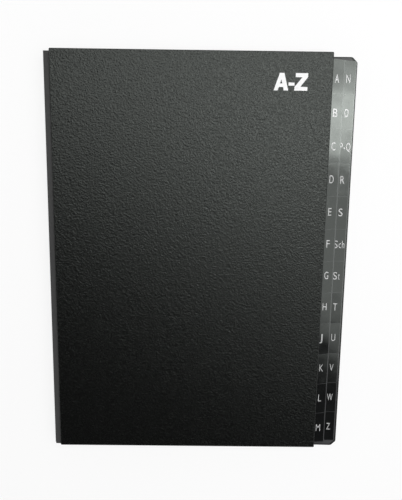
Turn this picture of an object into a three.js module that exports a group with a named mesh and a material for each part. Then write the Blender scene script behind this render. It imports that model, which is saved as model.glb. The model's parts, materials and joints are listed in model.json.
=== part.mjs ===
// Desk sorter: two hard covers, a pleated cloth spine and 24 index dividers with stepped tabs.
// Millimetres, +Z up. The sorter lies closed on its back cover, +X points to the tabs and +Y to
// the covers' top edge. While it is built, x = 0 is the covers' edge next to the spine.

import * as THREE from 'three';

// Covers
const coverHeight = 340;
const frontCoverWidth = 225;
const backCoverOverhang = 20.8;
const boardThickness = 2;
const boardEdgeRadius = 0.6;
const coverCornerRadius = 1;
const clippedCorner = 4.2;
// The covers have slipped along the spine, and the dividers lie halfway between them
const coverSlip = 3.3;

// Dividers
const innerColumnLetters = ['A', 'B', 'C', 'D', 'E', 'F', 'G', 'H', 'I_J', 'K', 'L', 'M'];
const outerColumnLetters = ['N', 'O', 'P_Q', 'R', 'S', 'Sch', 'St', 'T', 'U', 'V', 'W', 'Z'];
const sheetHeight = 333;
const sheetThickness = 0.24;
const sheetCornerRadius = 3;
const innerColumnWidth = 9.6;
const outerColumnWidth = 9.7;
const tabUnderlap = 2;
// The columns' top edge falls towards the fore-edge, and the inner tabs' lower edges rise
const topSlant = THREE.MathUtils.degToRad(5);
const innerFootSlant = THREE.MathUtils.degToRad(7);
const outerFootSlant = THREE.MathUtils.degToRad(0);
const tabCornerRadius = 0.8;

// Spine cloth, folded round each divider's binding edge
const clothThickness = 0.1;
const clothLength = 336;
const pleatDepth = 8;
const spineReach = 4.5;
const spineBulge = 1.5;
const pleatClearance = 0.06;

// Cloth strips that carry the covers on the spine
const stripThickness = 0.3;
const stripWidth = 20;
const stripLength = 336;

// Clearances
const glueGap = 0.05;
const sheetClearance = 0.05;
const foreEdgeClearance = 0.12;
const hingeClearance = 0.2;
const foldSetback = 0.15;
const coverClearance = 0.2;

// Steps in a half round
const ridgeSegments = 6;
const valleySegments = 4;
const cornerSegments = 3;

const sheetCount = innerColumnLetters.length + outerColumnLetters.length;
const hingeX = -spineReach;

// Folds of the spine cloth: a ridge clasps a divider, a valley lies between two dividers
const ridgeInnerRadius = sheetThickness / 2 + sheetClearance;
const ridgeOuterRadius = ridgeInnerRadius + clothThickness;
const valleyInnerRadius = pleatClearance / 2;
const valleyOuterRadius = valleyInnerRadius + clothThickness;

// The stack is thicker at the spine than at the fore-edge, so each divider has its own slope
const spinePitch = 2 * ridgeOuterRadius + pleatClearance;
const foreEdgePitch = sheetThickness + foreEdgeClearance;
const endWallLevel = 0.5 - ridgeInnerRadius / spinePitch;
const stackBottomAtSpine =
  boardThickness + glueGap + stripThickness + hingeClearance + endWallLevel * spinePitch;
const stackBottomAtForeEdge = boardThickness + coverClearance;

// Height of a level of the stack at x. Level 0 is its underside, and each divider adds 1.
function stackHeight(x, level) {
  const share = x / frontCoverWidth;
  const bottom = THREE.MathUtils.lerp(stackBottomAtSpine, stackBottomAtForeEdge, share);
  const pitch = THREE.MathUtils.lerp(spinePitch, foreEdgePitch, share);
  return bottom + level * pitch;
}

// Divider 0 is the uppermost, next to the front cover
function sheetLevel(index) {
  return sheetCount - 0.5 - index;
}

// The spine bulges outward between its two ends
function ridgeCentreX(index) {
  const bulge = spineBulge * Math.sin((Math.PI * (index + 0.5)) / sheetCount);
  return hingeX + foldSetback / 2 + ridgeOuterRadius - bulge;
}

// Materials
const coveringMaterial = new THREE.MeshStandardMaterial({ color: 0x1b1b1c, roughness: 0.5, metalness: 0 });
const clothMaterial = new THREE.MeshStandardMaterial({ color: 0x2b2b2d, roughness: 0.8, metalness: 0 });
const filmMaterial = new THREE.MeshStandardMaterial({ color: 0x0f1011, roughness: 0.2, metalness: 0 });

// Closed outline whose corners are [x, y, radius]; a radius of 0 leaves the corner sharp
function roundedOutline(corners) {
  const shape = new THREE.Shape();
  corners.forEach(([x, y, radius], index) => {
    const corner = new THREE.Vector2(x, y);
    const before = new THREE.Vector2(...corners.at(index - 1));
    const after = new THREE.Vector2(...corners.at((index + 1) % corners.length));
    const entry = corner.clone().add(before.sub(corner).setLength(radius));
    const exit = corner.clone().add(after.sub(corner).setLength(radius));
    if (index === 0) {
      shape.moveTo(entry.x, entry.y);
    } else {
      shape.lineTo(entry.x, entry.y);
    }
    if (radius > 0) {
      shape.quadraticCurveTo(corner.x, corner.y, exit.x, exit.y);
    }
  });
  shape.closePath();
  return shape;
}

// Board lying on z = 0, with the softened edges that its turned-in covering gives
function boardGeometry(outline) {
  const geometry = new THREE.ExtrudeGeometry(outline, {
    depth: boardThickness - 2 * boardEdgeRadius,
    bevelThickness: boardEdgeRadius,
    bevelSize: boardEdgeRadius,
    bevelOffset: -boardEdgeRadius,
    bevelSegments: cornerSegments,
    curveSegments: cornerSegments,
  });
  return geometry.translate(0, 0, boardEdgeRadius);
}

function frontCoverMesh() {
  const halfHeight = coverHeight / 2;
  const outline = roundedOutline([
    [0, -halfHeight, coverCornerRadius],
    [frontCoverWidth, -halfHeight, coverCornerRadius],
    [frontCoverWidth, halfHeight, coverCornerRadius],
    [0, halfHeight, coverCornerRadius],
  ]);
  const mesh = new THREE.Mesh(boardGeometry(outline), coveringMaterial);
  mesh.name = 'front_cover';
  return mesh;
}

// The back cover reaches out under all tabs, and its two outer corners are clipped
function backCoverMesh() {
  const halfHeight = coverHeight / 2;
  const width = frontCoverWidth + backCoverOverhang;
  const outline = roundedOutline([
    [0, -halfHeight, coverCornerRadius],
    [width - clippedCorner, -halfHeight, coverCornerRadius],
    [width, -halfHeight + clippedCorner, coverCornerRadius],
    [width, halfHeight - clippedCorner, coverCornerRadius],
    [width - clippedCorner, halfHeight, coverCornerRadius],
    [0, halfHeight, coverCornerRadius],
  ]);
  const mesh = new THREE.Mesh(boardGeometry(outline), coveringMaterial);
  mesh.name = 'back_cover';
  return mesh;
}

// Cloth strip glued to a board's inner face, from inside the cover out to the fold beside the
// spine. It lies on z = 0.
function hingeStripMesh(name) {
  const foldEdge = hingeX + foldSetback;
  const geometry = new THREE.BoxGeometry(stripWidth - foldEdge, stripLength, stripThickness);
  geometry.translate((stripWidth + foldEdge) / 2, 0, stripThickness / 2);
  const mesh = new THREE.Mesh(geometry, clothMaterial);
  mesh.name = name;
  return mesh;
}

// Points of an arc about (x, level), with its radius in millimetres at the spine
function foldArc(x, level, radius, startAngle, endAngle, segments) {
  const points = [];
  for (let step = 0; step <= segments; step += 1) {
    const angle = THREE.MathUtils.lerp(startAngle, endAngle, step / segments);
    const pointX = x + radius * Math.cos(angle);
    const pointLevel = level + (radius * Math.sin(angle)) / spinePitch;
    points.push(new THREE.Vector2(pointX, stackHeight(pointX, pointLevel)));
  }
  return points;
}

// One side of the folded cloth, from the front cover's fold down to the back cover's fold
function foldLine(ridgeRadius, valleyRadius) {
  const quarter = Math.PI / 2;
  const foldEdge = hingeX + foldSetback;
  const wallOffset = ridgeRadius / spinePitch;
  const topLevel = sheetLevel(-1) - wallOffset;
  const bottomLevel = sheetLevel(sheetCount) + wallOffset;
  const points = [new THREE.Vector2(foldEdge, stackHeight(foldEdge, topLevel))];
  for (let index = 0; index <= sheetCount; index += 1) {
    const valleyLevel = sheetLevel(index) + 0.5;
    points.push(...foldArc(pleatDepth, valleyLevel, valleyRadius, quarter, -quarter, valleySegments));
    if (index < sheetCount) {
      const x = ridgeCentreX(index);
      points.push(...foldArc(x, sheetLevel(index), ridgeRadius, quarter, 3 * quarter, ridgeSegments));
    }
  }
  points.push(new THREE.Vector2(foldEdge, stackHeight(foldEdge, bottomLevel)));
  return points;
}

// Pleated spine: one strip of cloth, its section drawn in x and z and run along y
function spineGussetMesh() {
  const spineSide = foldLine(ridgeOuterRadius, valleyInnerRadius);
  const paperSide = foldLine(ridgeInnerRadius, valleyOuterRadius).reverse();
  const section = new THREE.Shape([...spineSide, ...paperSide]);
  const geometry = new THREE.ExtrudeGeometry(section, { depth: clothLength, bevelEnabled: false });
  geometry.translate(0, 0, -clothLength / 2);
  geometry.rotateX(Math.PI / 2);
  const mesh = new THREE.Mesh(geometry, clothMaterial);
  mesh.name = 'spine_gusset';
  return mesh;
}

// A divider's tab stands in its own row. Its column strip runs from the top edge down to that tab
// and is cut back below it, so that the next divider's tab shows.
function dividerOutline(bindingX, row, rowCount, tabX, cutBackX, footSlant) {
  const halfHeight = sheetHeight / 2;
  const rowPitch = sheetHeight / rowCount;
  const tabTop = (x) => halfHeight - Math.tan(topSlant) * (x - frontCoverWidth);
  const footAtCover = halfHeight - rowPitch * (row + 1);
  const tabFoot = (x) => footAtCover + Math.tan(footSlant) * (x - frontCoverWidth);
  const corners = [[bindingX, -halfHeight, 0]];
  if (row < rowCount - 1) {
    corners.push([cutBackX, -halfHeight, sheetCornerRadius]);
    corners.push([cutBackX, tabFoot(cutBackX), 0]);
    corners.push([tabX, tabFoot(tabX), tabCornerRadius]);
  } else {
    corners.push([tabX, -halfHeight, tabCornerRadius]);
  }
  corners.push([tabX, tabTop(tabX), tabCornerRadius]);
  corners.push([frontCoverWidth, halfHeight, 0]);
  corners.push([bindingX, halfHeight, 0]);
  return roundedOutline(corners);
}

function dividerMesh(letters, index, row, rowCount, tabX, cutBackX, footSlant) {
  const outline = dividerOutline(ridgeCentreX(index), row, rowCount, tabX, cutBackX, footSlant);
  const geometry = new THREE.ExtrudeGeometry(outline, {
    depth: sheetThickness,
    bevelEnabled: false,
    curveSegments: cornerSegments,
  });
  geometry.translate(0, 0, -sheetThickness / 2);
  const level = sheetLevel(index);
  const fall = stackHeight(0, level) - stackHeight(frontCoverWidth, level);
  const mesh = new THREE.Mesh(geometry, filmMaterial);
  mesh.name = `divider_${letters}`;
  mesh.position.z = stackHeight(0, level);
  mesh.rotation.y = Math.atan2(fall, frontCoverWidth);
  return mesh;
}

function dividerMeshes() {
  const innerTabX = frontCoverWidth + innerColumnWidth;
  const outerTabX = innerTabX + outerColumnWidth;
  const innerCutBackX = frontCoverWidth - tabUnderlap;
  const outerCutBackX = innerTabX - tabUnderlap;
  const inner = innerColumnLetters.map((letters, row, { length }) =>
    dividerMesh(letters, row, row, length, innerTabX, innerCutBackX, innerFootSlant),
  );
  const outer = outerColumnLetters.map((letters, row, { length }) => {
    const index = innerColumnLetters.length + row;
    return dividerMesh(letters, index, row, length, outerTabX, outerCutBackX, outerFootSlant);
  });
  return [...inner, ...outer];
}

// Back cover on the ground, with its hinge strip on its inner face
function backCoverGroup() {
  const group = new THREE.Group();
  const strip = hingeStripMesh('back_hinge_strip');
  strip.position.z = boardThickness + glueGap;
  group.add(backCoverMesh(), strip);
  group.position.y = -coverSlip / 2;
  return group;
}

// Front cover, sloping from the thick spine down to the thin fore-edge, with its strip below it
function frontCoverGroup() {
  const topWallLevel = sheetCount + endWallLevel;
  const innerFaceAtSpine =
    stackHeight(0, topWallLevel) + hingeClearance + stripThickness + glueGap;
  const innerFaceAtForeEdge = stackHeight(frontCoverWidth, sheetCount) + coverClearance;
  const group = new THREE.Group();
  const strip = hingeStripMesh('front_hinge_strip');
  strip.position.z = -glueGap - stripThickness;
  group.add(frontCoverMesh(), strip);
  group.position.set(0, coverSlip / 2, innerFaceAtSpine);
  group.rotation.y = Math.atan2(innerFaceAtSpine - innerFaceAtForeEdge, frontCoverWidth);
  return group;
}

function deskSorter() {
  const sorter = new THREE.Group();
  sorter.add(backCoverGroup(), spineGussetMesh(), ...dividerMeshes(), frontCoverGroup());
  const bounds = new THREE.Box3().setFromObject(sorter, true);
  const centre = bounds.getCenter(new THREE.Vector3());
  sorter.position.set(-centre.x, -centre.y, -bounds.min.z);
  return sorter;
}

export default deskSorter();
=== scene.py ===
"""Looks of the desk sorter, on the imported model. Metres, +X to the tabs, +Y to the top edge, +Z up."""

import json
import math

import bmesh
import bpy
from mathutils import Matrix, Vector


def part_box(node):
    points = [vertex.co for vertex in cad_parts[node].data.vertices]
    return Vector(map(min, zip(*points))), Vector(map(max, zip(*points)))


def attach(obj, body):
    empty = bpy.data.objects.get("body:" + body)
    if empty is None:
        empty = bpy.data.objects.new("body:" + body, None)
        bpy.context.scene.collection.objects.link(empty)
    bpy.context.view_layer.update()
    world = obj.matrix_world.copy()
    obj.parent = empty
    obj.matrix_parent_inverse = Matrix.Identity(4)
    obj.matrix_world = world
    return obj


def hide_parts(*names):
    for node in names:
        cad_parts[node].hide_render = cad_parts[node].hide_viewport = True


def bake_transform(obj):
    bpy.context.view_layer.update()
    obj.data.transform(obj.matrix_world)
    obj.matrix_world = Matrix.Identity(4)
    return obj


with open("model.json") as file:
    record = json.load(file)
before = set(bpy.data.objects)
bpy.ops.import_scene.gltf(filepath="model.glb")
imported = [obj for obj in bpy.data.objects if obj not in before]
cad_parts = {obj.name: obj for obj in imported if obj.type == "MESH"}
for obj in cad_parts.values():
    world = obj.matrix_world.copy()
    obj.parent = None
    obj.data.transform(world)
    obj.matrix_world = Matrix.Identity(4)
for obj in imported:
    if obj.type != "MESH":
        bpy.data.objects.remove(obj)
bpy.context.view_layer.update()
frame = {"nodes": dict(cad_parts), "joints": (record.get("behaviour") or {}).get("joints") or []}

MM = 0.001

# Dividers, from the top of the stack downwards
INNER_COLUMN = ["A", "B", "C", "D", "E", "F", "G", "H", "I_J", "K", "L", "M"]
OUTER_COLUMN = ["N", "O", "P_Q", "R", "S", "Sch", "St", "T", "U", "V", "W", "Z"]
INNER_FOOT_SLANT = math.tan(math.radians(7))
FILM_INSIDE_COVER = 14 * MM
FILM_MARGIN = 0.85 * MM
TAB_WAVE_DEPTH = 0.5 * MM
# Some tabs lean a little along the spine, in the shading only: the height that they gain per length
TAB_LEANS = {"N": 0.012, "K": -0.018, "U": -0.022, "V": -0.028, "T": 0.008, "F": -0.008, "S": 0.006}

# Reflections in black surfaces are slightly green
SHEEN_TINT = (0.93, 1.0, 0.94, 1.0)

# Brightness of cloth and ink, from 0 to 1
SPINE_CLOTH_LEVEL = 0.045
HINGE_CLOTH_LEVEL = 0.037
INDEX_INK_LEVEL = 0.54
COVER_INK_LEVEL = 0.86

# Index letters on the tabs, narrow and bold, most of them of one width
LETTER_HEIGHT = 7.15 * MM
LETTER_WIDTH = 3.7 * MM
SPECIAL_WIDTHS = {
    "I": 0.9 * MM, "J": 3.0 * MM, "L": 2.9 * MM, "E": 3.0 * MM, "F": 3.0 * MM, "M": 4.1 * MM,
    "W": 5.2 * MM, "c": 2.2 * MM, "h": 2.3 * MM, "t": 1.7 * MM, "-": 1.4 * MM,
}
LETTER_SPACE = 0.55 * MM
LETTER_BOLDNESS = 0.16 * MM
LETTER_BELOW_CENTRE = 1.2 * MM
INNER_LETTER_INSET = 5.95 * MM
OUTER_LETTER_INSET = 6.0 * MM
# Halfway down the columns the letters stand higher on their tabs
INNER_LETTER_ARCH = 3.9 * MM
OUTER_LETTER_ARCH = 2.6 * MM
ARCH_ROWS = len(INNER_COLUMN) + 1
LABEL_SHIFTS = {"I-J": -3.3 * MM, "P-Q": 0.1 * MM, "Sch": 0.3 * MM, "St": -0.4 * MM}
PRINT_THICKNESS = 0.03 * MM

# Cap height of Blender's own font, as a share of its size
CAP_HEIGHT_SHARE = 0.729

# Print on the front cover, measured from the cover's lower left corner
PRINT_LEFT = 178.1 * MM
PRINT_FOOT = 309.7 * MM
PRINT_HEIGHT = 13.6 * MM
PRINT_LETTER_A_WIDTH = 11.7 * MM
PRINT_HYPHEN_WIDTH = 4.8 * MM
PRINT_LETTER_Z_WIDTH = 10.6 * MM

# Paper inside the covers
LINING_THICKNESS = 0.1 * MM
LINING_INSET = 1.2 * MM
LINING_FROM_SPINE = 20.5 * MM
LINING_CORNER_CUTS = {"front_cover": 0.8 * MM, "back_cover": 4.2 * MM}

# Cloth that hinges the covers on the spine
STRIP_THICKNESS = 0.3 * MM
HINGE_GAP = 0.2 * MM
FOLD_STEPS = 8
CLOTH_STATIONS = 42

# Camera, fitted to the cover's edges in the photograph
PHOTO_LENS = 51.84
PHOTO_SENSOR = 36
CAMERA_PLACE = Vector((14.5, 140.9, 603.0)) * MM
CAMERA_TARGET = Vector((1.8, 6.8, 0.0)) * MM
CAMERA_UP = Vector((-0.0184, 0.9761, -0.2167))

# Lamps that face down: name, centre, size, radiance, and turn in degrees
SOFTBOXES = [
    ("overhead_softbox", (0.50, 0.25, 1.2), (1.8, 1.4), 1.5, -30),
    ("upper_softbox", (0.20, 0.52, 1.19), (1.4, 0.85), 1.6, 0),
    ("softbox_core", (0.38, 0.068, 1.18), (0.5, 0.15), 5.6, 0),
]

# Bright walls under a dark ceiling. Their limits are sines of the angle above the horizon.
CEILING_RADIANCE = 0.05
WALL_RADIANCE = 1.0
WALL_TOP = 0.34
CEILING_START = 0.52

# Floor, lit near the object and plain white from the white radius on
FLOOR_LEVEL = 0.93
FLOOR_SIZE = 30.0
FLOOR_DROP = 0.1 * MM
FLOOR_LIT_RADIUS = 0.45
FLOOR_WHITE_RADIUS = 1.1
FLOOR_NEAR_WHITE = 0.82


class Paint:
    """A material's nodes, with short calls for the kinds used here."""

    def __init__(self, name):
        self.material = bpy.data.materials.new(name)
        self.material.use_nodes = True
        self.tree = self.material.node_tree
        self.shader = self.tree.nodes["Principled BSDF"]
        self.place = self.tree.nodes.new("ShaderNodeTexCoord").outputs["Object"]
        self.axes = self.node("ShaderNodeSeparateXYZ", {"Vector": self.place}).outputs

    def feed(self, socket, value):
        if isinstance(value, bpy.types.NodeSocket):
            self.tree.links.new(value, socket)
        else:
            socket.default_value = value

    def node(self, kind, inputs, **settings):
        made = self.tree.nodes.new(kind)
        for name, value in settings.items():
            setattr(made, name, value)
        for name, value in inputs.items():
            self.feed(made.inputs[name], value)
        return made

    def math(self, operation, first, second=0.0, third=0.0, clamp=False):
        made = self.tree.nodes.new("ShaderNodeMath")
        made.operation = operation
        made.use_clamp = clamp
        for socket, value in zip(made.inputs, (first, second, third)):
            self.feed(socket, value)
        return made.outputs["Value"]

    def between(self, value, low, high, out_low=0.0, out_high=1.0):
        """value as a share of its way from low to high, smoothed, then scaled to the out values."""
        inputs = {"Value": value, "From Min": low, "From Max": high, "To Min": out_low, "To Max": out_high}
        return self.node("ShaderNodeMapRange", inputs, interpolation_type="SMOOTHSTEP").outputs["Result"]

    def shifted(self, offset):
        inputs = {"Vector": self.place, "Location": offset}
        return self.node("ShaderNodeMapping", inputs).outputs["Vector"]

    def noise(self, size, detail=3.0, rough=0.5, place=None):
        inputs = {"Vector": place or self.place, "Scale": 1 / size, "Detail": detail, "Roughness": rough}
        return self.node("ShaderNodeTexNoise", inputs).outputs["Fac"]

    def cells(self, size, place):
        """Distance from the centre of irregular cells, in cell sizes."""
        return self.node("ShaderNodeTexVoronoi", {"Vector": place, "Scale": 1 / size}).outputs["Distance"]

    def stirred(self, size, distance):
        """The place, moved about by up to the distance with a coloured noise of the given size."""
        inputs = {"Vector": self.place, "Scale": 1 / size, "Detail": 2.0}
        colour = self.node("ShaderNodeTexNoise", inputs).outputs["Color"]
        middle = {0: colour, 1: (0.5, 0.5, 0.5)}
        offset = self.node("ShaderNodeVectorMath", middle, operation="SUBTRACT").outputs["Vector"]
        scaled = {0: offset, "Scale": distance}
        offset = self.node("ShaderNodeVectorMath", scaled, operation="SCALE").outputs["Vector"]
        both = {0: self.place, 1: offset}
        return self.node("ShaderNodeVectorMath", both, operation="ADD").outputs["Vector"]

    def mix(self, share, first, second):
        """Colour between first and second. The node's colour sockets come after those for other data."""
        made = self.tree.nodes.new("ShaderNodeMix")
        made.data_type = "RGBA"
        self.feed(made.inputs["Factor"], share)
        self.feed(made.inputs[6], first)
        self.feed(made.inputs[7], second)
        return made.outputs[2]

    def bump(self, height, depth, normal=None):
        inputs = {"Height": height, "Distance": depth, "Strength": 1.0}
        if normal is not None:
            inputs["Normal"] = normal
        return self.node("ShaderNodeBump", inputs).outputs["Normal"]

    def surface(self, **inputs):
        """Sets the shader's sockets, named with underscores for spaces, and gives back the material."""
        for name, value in inputs.items():
            self.feed(self.shader.inputs[name.replace("_", " ")], value)
        return self.material


def grey(level, blue=1.0):
    return (level, level, level * blue, 1.0)


def edge_distance(paint, low, high):
    """How far a point lies inside the nearest edge of a board, in plan."""
    x, y = paint.axes["X"], paint.axes["Y"]
    across = paint.math("MINIMUM", paint.math("SUBTRACT", x, low.x), paint.math("SUBTRACT", high.x, x))
    along = paint.math("MINIMUM", paint.math("SUBTRACT", y, low.y), paint.math("SUBTRACT", high.y, y))
    return paint.math("MINIMUM", across, along)


def covering_material(node):
    """Black embossed covering: soft leather-like cells, fine grain with painted shade in its hollows, and
    edges rubbed by handling.
    """
    relief = 0.24 * MM
    rubbed_width = 1.1 * MM
    # Colour of the grain's hollows, darker than its tops: painted shade
    painted_hollow_shade = 0.0006
    raised_level = 0.0046
    rubbed_level = 0.018
    hollow_rough = 0.33
    raised_rough = 0.13
    paint = Paint(f"covering_{node}")
    cells = paint.cells(1.5 * MM, paint.stirred(2.2 * MM, 1.6 * MM))
    pores = paint.noise(1.25 * MM, 2.0)
    creases = paint.noise(2.6 * MM, 3.0, 0.6)
    height = paint.math("MULTIPLY_ADD", cells, -0.5, paint.math("MULTIPLY", pores, 0.9))
    height = paint.math("MULTIPLY_ADD", creases, 0.6, height)
    normal = paint.bump(height, relief)
    low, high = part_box(node)
    rubbed = paint.between(edge_distance(paint, low, high), 0.0, rubbed_width, 1.0, 0.0)
    rubbed = paint.math("MULTIPLY", rubbed, paint.between(paint.noise(7 * MM, 4.0), 0.45, 0.7))
    # Colour follows the grain's height and is darker in its hollows: painted shade
    raised = paint.between(pores, 0.36, 0.66)
    colour = paint.mix(raised, grey(painted_hollow_shade), grey(raised_level))
    colour = paint.mix(rubbed, colour, grey(rubbed_level))
    rough = paint.math("MULTIPLY_ADD", raised, raised_rough - hollow_rough, hollow_rough)
    rough = paint.math("MULTIPLY_ADD", rubbed, 0.12, rough)
    return paint.surface(
        Base_Color=colour, Roughness=rough, Normal=normal, Specular_IOR_Level=0.36, Specular_Tint=SHEEN_TINT
    )


def cloth_material(name, level):
    """Black book cloth: a fine plain weave with uneven threads."""
    thread = 0.42 * MM
    relief = 0.05 * MM
    paint = Paint(name)
    sweep = paint.math("ADD", paint.axes["X"], paint.axes["Z"])
    drift = paint.math("MULTIPLY", paint.noise(6 * MM, 2.0), 1.4)
    turns = 2 * math.pi / thread
    warp = paint.math("SINE", paint.math("MULTIPLY_ADD", sweep, turns, drift))
    weft = paint.math("SINE", paint.math("MULTIPLY_ADD", paint.axes["Y"], turns, drift))
    weave = paint.math("MULTIPLY_ADD", paint.math("MULTIPLY", warp, weft), 0.25, 0.5)
    slubs = paint.noise(1.3 * MM, 3.0, 0.6)
    height = paint.math("MULTIPLY_ADD", slubs, 0.6, weave)
    share = paint.math("MULTIPLY_ADD", slubs, 0.8, paint.math("MULTIPLY", weave, 0.3), clamp=True)
    colour = paint.mix(share, grey(level * 0.62), grey(level * 1.45))
    normal = paint.bump(height, relief)
    return paint.surface(
        Base_Color=colour, Roughness=0.82, Normal=normal, Sheen_Weight=0.12, Sheen_Roughness=0.5
    )


def lining_material():
    """Dark grey lining paper, slightly glazed."""
    paint = Paint("lining_paper")
    fibres = paint.noise(1.1 * MM, 5.0, 0.65)
    clouds = paint.noise(22 * MM, 3.0)
    share = paint.math("MULTIPLY_ADD", clouds, 0.6, paint.math("MULTIPLY", fibres, 0.5), clamp=True)
    colour = paint.mix(share, grey(0.036), grey(0.056, 1.04))
    normal = paint.bump(fibres, 0.02 * MM)
    return paint.surface(Base_Color=colour, Roughness=0.42, Normal=normal)


def divider_material(node, seed, column_edge, tab_foot, foot_slant):
    """Black card whose tab strip is sealed in glossy film, with a narrow clear margin at the tab's edges."""
    card_rough = 0.6
    film_rough = 0.11
    soft_edge = 0.1 * MM
    margin_start = 3 * MM
    paint = Paint(f"card_{node}")
    x, y = paint.axes["X"], paint.axes["Y"]
    cover_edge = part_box("front_cover")[1].x
    film_edge = cover_edge - FILM_INSIDE_COVER
    place = paint.shifted((0.37 * seed, 0.53 * seed, 0.29 * seed))
    film = paint.between(x, film_edge, film_edge + soft_edge)
    foot_line = paint.math("MULTIPLY_ADD", paint.math("SUBTRACT", x, cover_edge), foot_slant, tab_foot)
    above_foot = paint.math("SUBTRACT", y, foot_line)
    inside_edge = paint.math("SUBTRACT", column_edge, x)
    side_margin = paint.between(inside_edge, FILM_MARGIN * 0.9, FILM_MARGIN, 1.0, 0.0)
    foot_margin = paint.between(above_foot, FILM_MARGIN * 0.5, FILM_MARGIN * 0.6, 0.55, 0.0)
    on_tab = paint.between(x, cover_edge - margin_start, cover_edge - margin_start + soft_edge)
    margin = paint.math("MAXIMUM", side_margin, paint.math("MULTIPLY", foot_margin, on_tab))
    fibres = paint.noise(0.9 * MM, 4.0, 0.6, place)
    clouds = paint.noise(30 * MM, 3.0, 0.5, place)
    card = paint.mix(fibres, grey(0.010), grey(0.020))
    under_film = paint.mix(clouds, grey(0.0026, 1.1), grey(0.0055, 1.1))
    colour = paint.mix(film, card, under_film)
    colour = paint.mix(margin, colour, grey(0.06, 1.03))
    smears = paint.between(paint.noise(11 * MM, 4.0, 0.6, place), 0.35, 0.75, 0.0, 0.07)
    rough = paint.math("MULTIPLY_ADD", film, film_rough - card_rough, card_rough)
    rough = paint.math("ADD", rough, smears)
    waves = paint.noise(34 * MM, 1.0, 0.4, place)
    lean = TAB_LEANS.get(node.removeprefix("divider_"), 0.0) / TAB_WAVE_DEPTH
    bend = paint.math("ADD", waves, paint.math("MULTIPLY", y, lean))
    grain = paint.math("MULTIPLY", fibres, paint.math("MULTIPLY_ADD", film, -0.85, 1.0))
    normal = paint.bump(grain, 0.03 * MM, paint.bump(bend, TAB_WAVE_DEPTH))
    return paint.surface(
        Base_Color=colour, Roughness=rough, Normal=normal, Specular_IOR_Level=0.8, Specular_Tint=SHEEN_TINT
    )


def print_material(name, level, rough, gloss):
    """Opaque printing ink, a little uneven."""
    paint = Paint(name)
    patches = paint.noise(2.4 * MM, 4.0, 0.6)
    colour = paint.mix(patches, grey(level * 0.9), grey(level * 1.06))
    normal = paint.bump(paint.noise(0.6 * MM, 2.0), 0.004 * MM)
    return paint.surface(Base_Color=colour, Roughness=rough, Normal=normal, Specular_IOR_Level=gloss)


def new_piece(name, mesh, material):
    """A piece of the visual model, which still has to be told what it rides on or bends with."""
    piece = bpy.data.objects.new(name, mesh)
    bpy.context.scene.collection.objects.link(piece)
    mesh.materials.clear()
    mesh.materials.append(material)
    return piece


def dress(node, material):
    """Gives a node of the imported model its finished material."""
    mesh = frame["nodes"][node].data
    mesh.materials.clear()
    mesh.materials.append(material)


class Board:
    """A flat node that tilts about the Y axis only: its directions and its extent in them."""

    def __init__(self, node):
        mesh = frame["nodes"][node].data
        upward = [face for face in mesh.polygons if face.normal.z > 0.9]
        upper = max(upward, key=lambda face: face.area)
        self.normal = Vector((upper.normal.x, 0, upper.normal.z)).normalized()
        self.across = Vector((self.normal.z, 0, -self.normal.x))
        points = [vertex.co for vertex in mesh.vertices]
        self.left = min(point.dot(self.across) for point in points)
        self.right = max(point.dot(self.across) for point in points)
        self.foot = min(point.y for point in points)
        self.head = max(point.y for point in points)
        self.bottom = min(point.dot(self.normal) for point in points)
        self.top = max(point.dot(self.normal) for point in points)

    def point(self, across, along, level):
        """Row-frame point from distances along the board's own directions."""
        return self.across * across + Vector((0, along, 0)) + self.normal * level

    def matrix(self, across, along, level):
        """Puts a flat drawing on the board: its x runs across, its y along the spine."""
        place = self.point(across, along, level)
        turn = Matrix((self.across, (0, 1, 0), self.normal)).transposed()
        return Matrix.Translation(place) @ turn.to_4x4()


def mesh_from(name, made):
    """Turns a bmesh into a mesh and frees it."""
    mesh = bpy.data.meshes.new(name)
    made.to_mesh(mesh)
    made.free()
    return mesh


def stacked_mesh(name, rings):
    """Closed mesh through rings of points, each with as many points as the next, with flat ends."""
    made = bmesh.new()
    rows = [[made.verts.new(point) for point in ring] for ring in rings]
    for before, after in zip(rows, rows[1:]):
        for index in range(len(before)):
            following = (index + 1) % len(before)
            made.faces.new((before[index], before[following], after[following], after[index]))
    made.faces.new(rows[0])
    made.faces.new(reversed(rows[-1]))
    bmesh.ops.recalc_face_normals(made, faces=made.faces)
    return mesh_from(name, made)


def line_covers(material):
    """Lining paper on the inner face of both covers, just short of the turned-in covering's edge."""
    for node, side in (("front_cover", -1), ("back_cover", 1)):
        board = Board(node)
        left = board.left + LINING_FROM_SPINE
        right = board.right - LINING_INSET
        foot = board.foot + LINING_INSET
        head = board.head - LINING_INSET
        cut = LINING_CORNER_CUTS[node]
        outline = [
            (left, foot), (right - cut, foot), (right, foot + cut),
            (right, head - cut), (right - cut, head), (left, head),
        ]
        face = board.top if side > 0 else board.bottom
        levels = sorted((face, face + side * LINING_THICKNESS))
        rings = [[board.point(u, v, level) for u, v in outline] for level in levels]
        mesh = stacked_mesh(f"{node}_lining", rings)
        piece = new_piece(f"{node}_lining", mesh, material)
        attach(piece, node)


def hinge_section(flange, side):
    """Section of a hinge cloth: a flange under the board, then a fold round the hinge line.

    Points are (across, level) from the hinge line. side is 1 where the board lies above the spine.
    The fold gets thinner on its way round, because it ends in the narrow gap at the spine."""
    half_gap = HINGE_GAP / 2
    outer = half_gap + STRIP_THICKNESS
    outside = []
    inside = []
    for step in range(FOLD_STEPS + 1):
        share = step / FOLD_STEPS
        angle = math.pi / 2 + math.pi * share
        outer_radius = outer - (STRIP_THICKNESS - half_gap) * share
        outside.append((outer_radius * math.cos(angle), outer_radius * math.sin(angle)))
        inside.append((half_gap * math.cos(angle), half_gap * math.sin(angle)))
    section = [(flange, outer), *outside, *reversed(inside), (flange, half_gap)]
    return [(u, side * w) for u, w in section]


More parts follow.
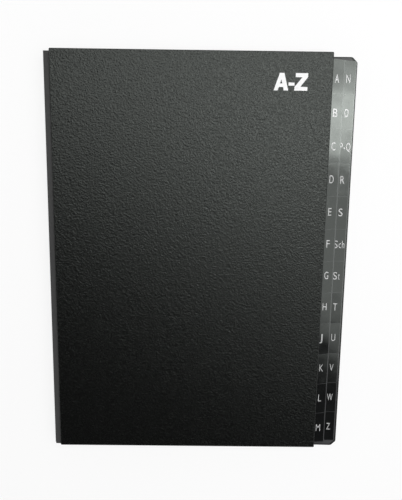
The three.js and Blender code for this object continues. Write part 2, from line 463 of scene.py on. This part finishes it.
def fold_hinges(material):
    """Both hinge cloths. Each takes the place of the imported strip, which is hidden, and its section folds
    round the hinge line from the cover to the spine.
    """
    joints = {joint["name"]: joint for joint in frame["joints"]}
    for cover, side in (("front_cover", 1), ("back_cover", -1)):
        node = cover.replace("cover", "hinge_strip")
        strip = Board(node)
        hinge = Vector(joints[f"{cover}_hinge"]["pos_m"])
        hinge_level = hinge.dot(strip.normal)
        hinge_across = hinge.dot(strip.across)
        flange = strip.right - hinge_across
        section = [(hinge_across + u, hinge_level + w) for u, w in hinge_section(flange, side)]
        length = strip.head - strip.foot
        rings = []
        for station in range(CLOTH_STATIONS + 1):
            along = strip.foot + length * station / CLOTH_STATIONS
            rings.append([strip.point(u, along, w) for u, w in section])
        mesh = stacked_mesh(f"{cover}_hinge_cloth", rings)
        piece = new_piece(f"{cover}_hinge_cloth", mesh, material)
        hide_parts(node)
        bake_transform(piece)


def glyph_mesh(letter):
    """One narrow sans-serif letter with its lower left corner at the origin, lying on z = 0."""
    text = bpy.data.curves.new(f"text_{letter}", "FONT")
    text.body = letter
    text.resolution_u = 5
    writer = bpy.data.objects.new(f"text_{letter}", text)
    bpy.context.scene.collection.objects.link(writer)
    bpy.context.view_layer.update()
    corners = [Vector(corner) for corner in writer.bound_box]
    left = min(corner.x for corner in corners)
    drawn_width = max(corner.x for corner in corners) - left
    width = SPECIAL_WIDTHS.get(letter, LETTER_WIDTH)
    for other in bpy.context.selected_objects:
        other.select_set(False)
    writer.select_set(True)
    bpy.context.view_layer.objects.active = writer
    bpy.ops.object.convert(target="CURVE")
    curve = writer.data
    stretch = (width - 2 * LETTER_BOLDNESS) / drawn_width
    size = (LETTER_HEIGHT - 2 * LETTER_BOLDNESS) / CAP_HEIGHT_SHARE
    curve.transform(Matrix.Diagonal((stretch, size, size, 1)) @ Matrix.Translation((-left, 0, 0)))
    curve.offset = LETTER_BOLDNESS
    curve.extrude = PRINT_THICKNESS / 2
    bpy.context.view_layer.update()
    mesh = bpy.data.meshes.new_from_object(writer.evaluated_get(bpy.context.evaluated_depsgraph_get()))
    bpy.data.objects.remove(writer)
    mesh.transform(Matrix.Translation((LETTER_BOLDNESS, LETTER_BOLDNESS, PRINT_THICKNESS / 2)))
    return mesh


def letter_mesh(label):
    """A label's letters in one mesh, centred on the origin, lying on z = 0."""
    made = bmesh.new()
    pen = 0.0
    for letter in label:
        glyph = glyph_mesh(letter)
        glyph.transform(Matrix.Translation((pen, 0, 0)))
        made.from_mesh(glyph)
        bpy.data.meshes.remove(glyph)
        pen += SPECIAL_WIDTHS.get(letter, LETTER_WIDTH) + LETTER_SPACE
    centre = Vector(((pen - LETTER_SPACE) / 2, LETTER_HEIGHT / 2, 0))
    bmesh.ops.translate(made, verts=made.verts, vec=-centre)
    return mesh_from(f"index_print_{label}", made)


def tab_rows():
    """Where the tab columns start at the top, and how far apart their tabs are."""
    low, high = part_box("divider_A")
    return high.y, (high.y - low.y) / len(INNER_COLUMN)


def print_index(material):
    """The index letters on their tabs."""
    high, pitch = tab_rows()
    columns = (
        (INNER_COLUMN, INNER_LETTER_INSET, INNER_LETTER_ARCH),
        (OUTER_COLUMN, OUTER_LETTER_INSET, OUTER_LETTER_ARCH),
    )
    for letters, inset, arch in columns:
        for row, letter in enumerate(letters):
            board = Board(f"divider_{letter}")
            label = letter.replace("_", "-")
            across = board.right - inset + LABEL_SHIFTS.get(label, 0.0)
            rise = arch * math.sin(math.pi * row / ARCH_ROWS) - LETTER_BELOW_CENTRE
            along = high - pitch * (row + 0.5) + rise
            mesh = letter_mesh(label)
            mesh.transform(board.matrix(across, along, board.top))
            piece = new_piece(f"index_print_{letter}", mesh, material)
            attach(piece, "divider_block")


def print_front(material):
    """Bold print near the front cover's upper right corner, drawn from straight strokes.

    Outlines are in shares of each letter's width and of the print's height."""
    board = Board("front_cover")
    letter_a = [
        (0, 0), (0.39, 1), (0.70, 1), (1, 0), (0.685, 0), (0.64, 0.2), (0.36, 0.2), (0.275, 0),
    ]
    opening = [(0.42, 0.4), (0.5, 0.635), (0.575, 0.4)]
    hyphen = [(0, 0.28), (0, 0.46), (1, 0.46), (1, 0.28)]
    letter_z = [
        (0, 0), (0, 0.2), (0.575, 0.77), (0.065, 0.77), (0.065, 1),
        (1, 1), (1, 0.79), (0.445, 0.215), (0.98, 0.215), (0.98, 0),
    ]
    shapes = (
        ("A", [letter_a, opening], PRINT_LETTER_A_WIDTH),
        ("hyphen", [hyphen], PRINT_HYPHEN_WIDTH),
        ("Z", [letter_z], PRINT_LETTER_Z_WIDTH),
    )
    left = board.left + PRINT_LEFT
    for name, outlines, width in shapes:
        curve = bpy.data.curves.new(f"cover_print_{name}", "CURVE")
        curve.dimensions = "2D"
        curve.fill_mode = "BOTH"
        curve.extrude = PRINT_THICKNESS / 2
        for outline in outlines:
            spline = curve.splines.new("POLY")
            spline.points.add(len(outline) - 1)
            for point, (u, v) in zip(spline.points, outline):
                point.co = (u * width, v * PRINT_HEIGHT, 0, 1)
            spline.use_cyclic_u = True
        drawing = bpy.data.objects.new(curve.name, curve)
        mesh = bpy.data.meshes.new_from_object(drawing)
        bpy.data.objects.remove(drawing)
        level = board.top + PRINT_THICKNESS / 2
        mesh.transform(board.matrix(left, board.foot + PRINT_FOOT, level))
        piece = new_piece(f"front_print_{name}", mesh, material)
        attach(piece, "front_cover")
        left += width


def dress_dividers():
    """One material for each divider, because each tab has its own edges."""
    high, pitch = tab_rows()
    seed = 0
    for letters, slant in ((INNER_COLUMN, INNER_FOOT_SLANT), (OUTER_COLUMN, 0.0)):
        for row, letter in enumerate(letters):
            node = f"divider_{letter}"
            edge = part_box(node)[1].x
            foot = high - pitch * (row + 1)
            seed += 1
            dress(node, divider_material(node, seed, edge, foot, slant))


def hang_softboxes():
    """Flat lamps that face down. They are seen in reflections, but not by the camera."""
    for name, centre, size, radiance, turn in SOFTBOXES:
        data = bpy.data.lights.new(name, "AREA")
        data.shape = "RECTANGLE"
        data.size, data.size_y = size
        data.energy = radiance * math.pi * size[0] * size[1]
        lamp = bpy.data.objects.new(name, data)
        lamp.location = centre
        lamp.rotation_euler.z = math.radians(turn)
        lamp.visible_camera = False
        bpy.context.scene.collection.objects.link(lamp)


def surround_with_walls():
    """A world that is bright near the horizon and dark above, as walls and a ceiling are."""
    world = bpy.data.worlds.new("studio")
    world.use_nodes = True
    bpy.context.scene.world = world
    tree = world.node_tree
    background = tree.nodes["Background"]
    direction = tree.nodes.new("ShaderNodeTexCoord").outputs["Generated"]
    axes = tree.nodes.new("ShaderNodeSeparateXYZ")
    tree.links.new(direction, axes.inputs["Vector"])
    rise = tree.nodes.new("ShaderNodeMapRange")
    rise.interpolation_type = "SMOOTHSTEP"
    rise.inputs["From Min"].default_value = WALL_TOP
    rise.inputs["From Max"].default_value = CEILING_START
    rise.inputs["To Min"].default_value = WALL_RADIANCE
    rise.inputs["To Max"].default_value = CEILING_RADIANCE
    tree.links.new(axes.outputs["Z"], rise.inputs["Value"])
    tree.links.new(rise.outputs["Result"], background.inputs["Strength"])
    background.inputs["Color"].default_value = (1, 1, 1, 1)


def lay_floor():
    """White floor. Near the object it is lit and takes the shadow, and far away it shows plain white."""
    bpy.ops.mesh.primitive_plane_add(size=FLOOR_SIZE, location=(0, 0, -FLOOR_DROP))
    floor = bpy.context.object
    floor.name = "studio_floor"
    paint = Paint("studio_floor")
    paint.surface(Base_Color=grey(FLOOR_LEVEL), Roughness=0.9)
    glow = paint.node("ShaderNodeEmission", {"Strength": 1.0})
    rays = paint.tree.nodes.new("ShaderNodeLightPath").outputs
    seen = paint.math("MAXIMUM", rays["Is Camera Ray"], rays["Is Glossy Ray"])
    seen = paint.math("MAXIMUM", seen, rays["Is Transmission Ray"])
    radius = paint.node("ShaderNodeVectorMath", {0: paint.place}, operation="LENGTH").outputs["Value"]
    far = paint.between(radius, FLOOR_LIT_RADIUS, FLOOR_WHITE_RADIUS, 0.0, 1.0)
    share = paint.math("MULTIPLY", seen, paint.math("MAXIMUM", far, FLOOR_NEAR_WHITE))
    mixed = paint.tree.nodes.new("ShaderNodeMixShader")
    paint.feed(mixed.inputs["Fac"], share)
    paint.feed(mixed.inputs[1], paint.shader.outputs["BSDF"])
    paint.feed(mixed.inputs[2], glow.outputs["Emission"])
    output = paint.tree.nodes["Material Output"]
    paint.feed(output.inputs["Surface"], mixed.outputs["Shader"])
    floor.data.materials.append(paint.material)


def place_camera():
    """The photograph's view: down on the front cover, from above its upper part."""
    data = bpy.data.cameras.new("camera")
    data.lens = PHOTO_LENS
    data.sensor_width = PHOTO_SENSOR
    camera = bpy.data.objects.new("camera", data)
    backward = (CAMERA_PLACE - CAMERA_TARGET).normalized()
    right = CAMERA_UP.cross(backward).normalized()
    up = backward.cross(right)
    turn = Matrix((right, up, backward)).transposed()
    camera.matrix_world = Matrix.Translation(CAMERA_PLACE) @ turn.to_4x4()
    bpy.context.scene.collection.objects.link(camera)
    bpy.context.scene.camera = camera


place_camera()
hang_softboxes()
surround_with_walls()
lay_floor()
for cover in ("front_cover", "back_cover"):
    dress(cover, covering_material(cover))
dress("spine_gusset", cloth_material("spine_cloth", SPINE_CLOTH_LEVEL))
dress_dividers()
line_covers(lining_material())
fold_hinges(cloth_material("hinge_cloth", HINGE_CLOTH_LEVEL))
print_index(print_material("index_ink", INDEX_INK_LEVEL, rough=0.12, gloss=0.8))
print_front(print_material("cover_ink", COVER_INK_LEVEL, rough=0.45, gloss=0.5))

bpy.context.scene.view_settings.view_transform = "Standard"
